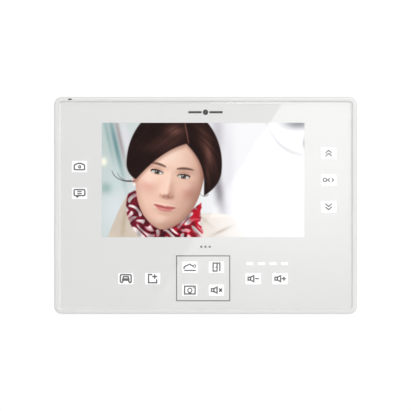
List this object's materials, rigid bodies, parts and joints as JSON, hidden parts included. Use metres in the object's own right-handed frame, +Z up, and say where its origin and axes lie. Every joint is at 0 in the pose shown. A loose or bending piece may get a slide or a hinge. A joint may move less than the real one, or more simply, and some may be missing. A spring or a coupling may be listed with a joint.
{
  "type": "video intercom monitor",
  "caption": "Flat rectangular wall-mounted video intercom monitor with a wide display, flush touch keys and a hook-on wall plate",
  "frame": {"origin": "back face of the wall plate, on the monitor's horizontal and vertical centre lines", "axes": "+X to the right seen from the front, +Y into the wall, +Z up"},
  "size_m": [0.23, 0.024, 0.165],
  "materials": {
    "white_frame_plastic": "satin moulded ABS",
    "white_rear_plastic": "fine-textured moulded ABS",
    "cover_glass": "polished, bevelled edge",
    "white_print": "printed film",
    "black_tape": "foam tape",
    "display_picture": "lit display",
    "display_glass": "polished",
    "acrylic_guide": "clear acrylic",
    "zinc_steel": "zinc-plated sheet",
    "white_paint_steel": "powder coat",
    "circuit_board": "solder mask",
    "black_plastic": "moulded",
    "chip_plastic": "moulded epoxy",
    "connector_plastic": "moulded nylon",
    "green_terminal_plastic": "moulded polyamide",
    "screw_steel": "zinc-plated",
    "brass_contact": "plated",
    "foam_gasket": "closed-cell foam",
    "opal_lens": "opal acrylic",
    "lamp": "LED lens",
    "aluminium": "satin",
    "ferrite": "moulded",
    "flat_cable": "polyester ribbon",
    "amber_flex": "polyimide film",
    "red_switch_plastic": "moulded",
    "lever_plastic": "moulded nylon",
    "cone_paper": "pressed pulp",
    "black_rubber": "moulded",
    "grey_rubber": "moulded",
    "wire_insulation": "extruded PVC",
    "magnet_ferrite": "sintered"
  },
  "bodies": {
    "bracket": {"wall_plate": "zinc_steel"},
    "monitor": {"backlight_led_bar": "lamp", "board_connectors": "connector_plastic", "capacitors": "aluminium", "cover_glass": "cover_glass", "display_gasket": "foam_gasket", "front_frame": "white_frame_plastic", "glass_tape": "black_tape", "heat_sink": "aluminium", "housing_screws": "screw_steel", "key_leds": "lamp", "lcd_bezel": "zinc_steel", "lcd_cell": "display_glass", "lcd_flex": "amber_flex", "lcd_light_guide": "acrylic_guide", "lcd_polarizer": "display_picture", "lcd_tray": "white_paint_steel", "light_lenses": "opal_lens", "line_transformer": "ferrite", "main_board": "circuit_board", "main_board_screws": "screw_steel", "microphone": "aluminium", "microphone_boot": "black_rubber", "mid_frame": "black_plastic", "mid_frame_screws": "screw_steel", "option_switch_body": "red_switch_plastic", "power_inductor": "ferrite", "printed_film": "white_print", "processor": "chip_plastic", "program_switch_body": "black_plastic", "rear_bumpers": "grey_rubber", "rear_housing": "white_rear_plastic", "shield_can": "zinc_steel", "small_components": "chip_plastic", "sound_leads": "wire_insulation", "speaker_basket": "zinc_steel", "speaker_gasket": "foam_gasket", "speaker_motor": "magnet_ferrite", "speaker_surround": "black_rubber", "terminal_block": "green_terminal_plastic", "terminal_contacts": "brass_contact", "touch_board_bottom": "circuit_board", "touch_board_left": "circuit_board", "touch_board_right": "circuit_board", "touch_electrodes": "foam_gasket", "touch_ribbons": "flat_cable"},
    "clamp_screw_1": {"terminal_screw_1": "screw_steel"},
    "clamp_cage_1": {"terminal_cage_1": "brass_contact"},
    "clamp_screw_2": {"terminal_screw_2": "screw_steel"},
    "clamp_cage_2": {"terminal_cage_2": "brass_contact"},
    "clamp_screw_3": {"terminal_screw_3": "screw_steel"},
    "clamp_cage_3": {"terminal_cage_3": "brass_contact"},
    "clamp_screw_4": {"terminal_screw_4": "screw_steel"},
    "clamp_cage_4": {"terminal_cage_4": "brass_contact"},
    "switch_lever_1": {"option_lever_1": "lever_plastic"},
    "switch_lever_2": {"option_lever_2": "lever_plastic"},
    "switch_lever_3": {"option_lever_3": "lever_plastic"},
    "switch_lever_4": {"option_lever_4": "lever_plastic"},
    "push_button": {"program_button": "black_plastic"},
    "cone": {"speaker_cone": "cone_paper"}
  },
  "joints": [
    {"name": "monitor_lift", "type": "slide", "parent": "bracket", "child": "monitor", "axis": [0, 0, 1], "range_m": [0, 0.008]},
    {"name": "clamp_screw_1_turn", "type": "hinge", "parent": "monitor", "child": "clamp_screw_1", "pos_m": [-0.0075, -0.003, -0.0203], "axis": [0, -1, 0], "range_deg": [0, 864]},
    {"name": "clamp_cage_1_rise", "type": "slide", "parent": "monitor", "child": "clamp_cage_1", "axis": [0, 1, 0], "range_m": [0, 0.0012]},
    {"name": "clamp_screw_2_turn", "type": "hinge", "parent": "monitor", "child": "clamp_screw_2", "pos_m": [-0.0025, -0.003, -0.0203], "axis": [0, -1, 0], "range_deg": [0, 864]},
    {"name": "clamp_cage_2_rise", "type": "slide", "parent": "monitor", "child": "clamp_cage_2", "axis": [0, 1, 0], "range_m": [0, 0.0012]},
    {"name": "clamp_screw_3_turn", "type": "hinge", "parent": "monitor", "child": "clamp_screw_3", "pos_m": [0.0025, -0.003, -0.0203], "axis": [0, -1, 0], "range_deg": [0, 864]},
    {"name": "clamp_cage_3_rise", "type": "slide", "parent": "monitor", "child": "clamp_cage_3", "axis": [0, 1, 0], "range_m": [0, 0.0012]},
    {"name": "clamp_screw_4_turn", "type": "hinge", "parent": "monitor", "child": "clamp_screw_4", "pos_m": [0.0075, -0.003, -0.0203], "axis": [0, -1, 0], "range_deg": [0, 864]},
    {"name": "clamp_cage_4_rise", "type": "slide", "parent": "monitor", "child": "clamp_cage_4", "axis": [0, 1, 0], "range_m": [0, 0.0012]},
    {"name": "switch_lever_1_slide", "type": "slide", "parent": "monitor", "child": "switch_lever_1", "axis": [1, 0, 0], "range_m": [0, 0.002]},
    {"name": "switch_lever_2_slide", "type": "slide", "parent": "monitor", "child": "switch_lever_2", "axis": [1, 0, 0], "range_m": [0, 0.002]},
    {"name": "switch_lever_3_slide", "type": "slide", "parent": "monitor", "child": "switch_lever_3", "axis": [1, 0, 0], "range_m": [0, 0.002]},
    {"name": "switch_lever_4_slide", "type": "slide", "parent": "monitor", "child": "switch_lever_4", "axis": [1, 0, 0], "range_m": [0, 0.002]},
    {"name": "push_button_press", "type": "slide", "parent": "monitor", "child": "push_button", "axis": [0, -1, 0], "range_m": [0, 0.0003], "stiffness_N_per_m": 1500, "springref_m": -0.0003},
    {"name": "cone_stroke", "type": "slide", "parent": "monitor", "child": "cone", "axis": [0, 1, 0], "range_m": [-0.0005, 0.0005], "stiffness_N_per_m": 1000, "deforming": ["speaker_surround"]}
  ],
  "couplings": [
    {"joint": "clamp_screw_1_turn", "follows": "clamp_cage_1_rise", "rad_per_m": 12566},
    {"joint": "clamp_screw_2_turn", "follows": "clamp_cage_2_rise", "rad_per_m": 12566},
    {"joint": "clamp_screw_3_turn", "follows": "clamp_cage_3_rise", "rad_per_m": 12566},
    {"joint": "clamp_screw_4_turn", "follows": "clamp_cage_4_rise", "rad_per_m": 12566}
  ]
}
